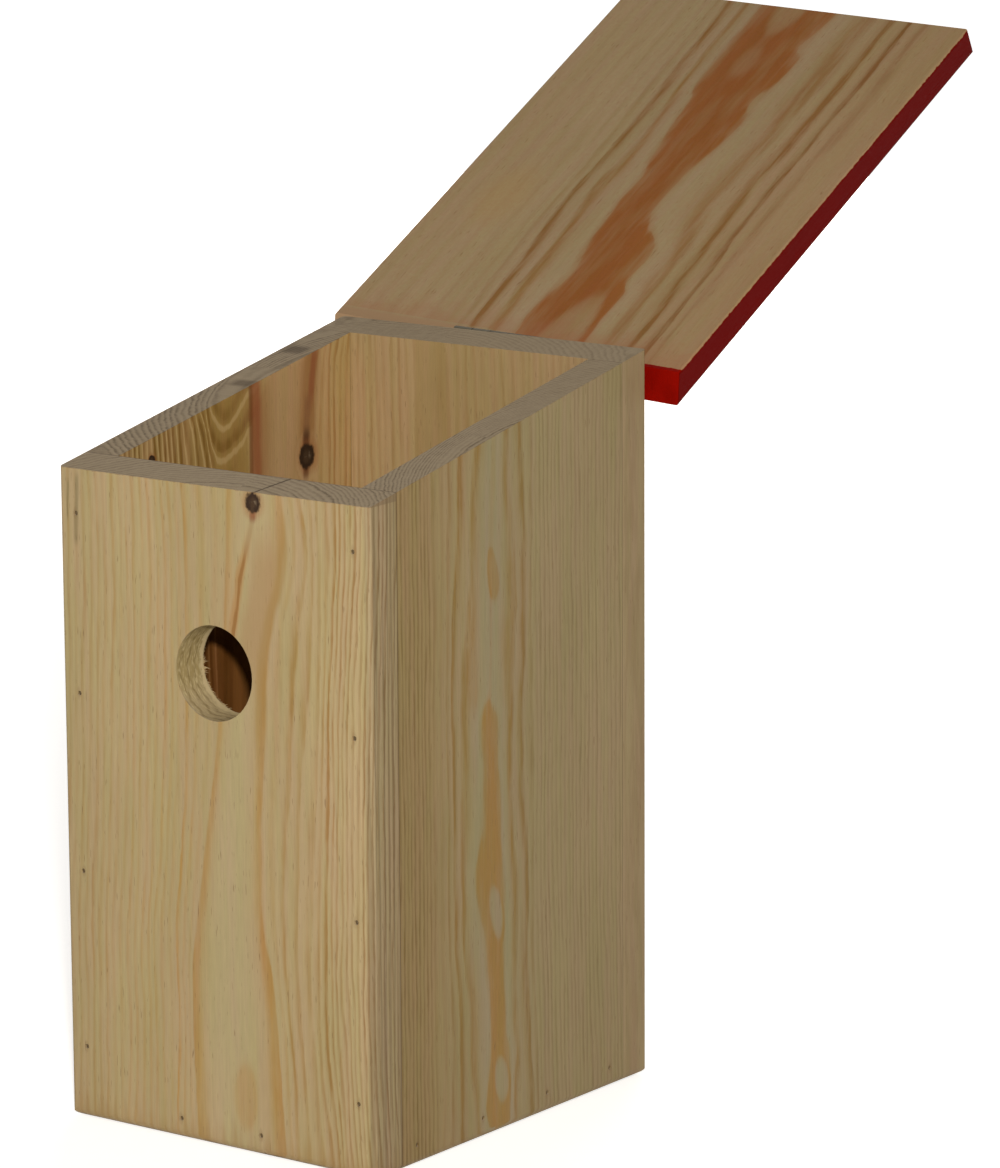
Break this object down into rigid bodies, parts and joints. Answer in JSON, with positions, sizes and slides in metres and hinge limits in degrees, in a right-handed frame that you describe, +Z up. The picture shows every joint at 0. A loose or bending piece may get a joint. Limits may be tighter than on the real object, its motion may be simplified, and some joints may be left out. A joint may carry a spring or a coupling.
{
  "type": "bird nest box",
  "caption": "Wooden nest box: a nailed board box with sloping top, round entrance hole, and an overhanging roof board that opens backwards on a butt hinge.",
  "frame": {"origin": "centre of the box's footprint, on the surface that it stands on", "axes": "+X to the right of someone facing the entrance, -Y out of the entrance, +Y to the back, +Z up"},
  "size_m": [0.1517, 0.3388, 0.3543],
  "materials": {
    "pine": "planed, untreated",
    "painted_pine": "red paint on top and edges, bare pine underneath",
    "zinc_plated_steel": "zinc plated",
    "brad_steel": "bright steel, dull"
  },
  "bodies": {
    "box": {"front_board": "pine", "back_board": "pine", "left_side": "pine", "right_side": "pine", "floor_board": "pine", "hinge_leaf_back": "zinc_plated_steel", "hinge_pin": "zinc_plated_steel", "hinge_screws_back": "zinc_plated_steel", "wall_brads_front_left": "brad_steel", "wall_brads_front_right": "brad_steel", "wall_brads_back_left": "brad_steel", "wall_brads_back_right": "brad_steel", "floor_brads_front": "brad_steel", "floor_brads_back": "brad_steel", "floor_brads_left": "brad_steel", "floor_brads_right": "brad_steel"},
    "roof": {"roof_board": "painted_pine", "hinge_leaf_roof": "zinc_plated_steel", "hinge_screws_roof": "zinc_plated_steel"}
  },
  "joints": [
    {"name": "roof_hinge", "type": "hinge", "parent": "box", "child": "roof", "pos_m": [0.002, 0.07865, 0.25185], "axis": [-0.9997, 0, 0.0244], "range_deg": [-161.6, 0]}
  ]
}
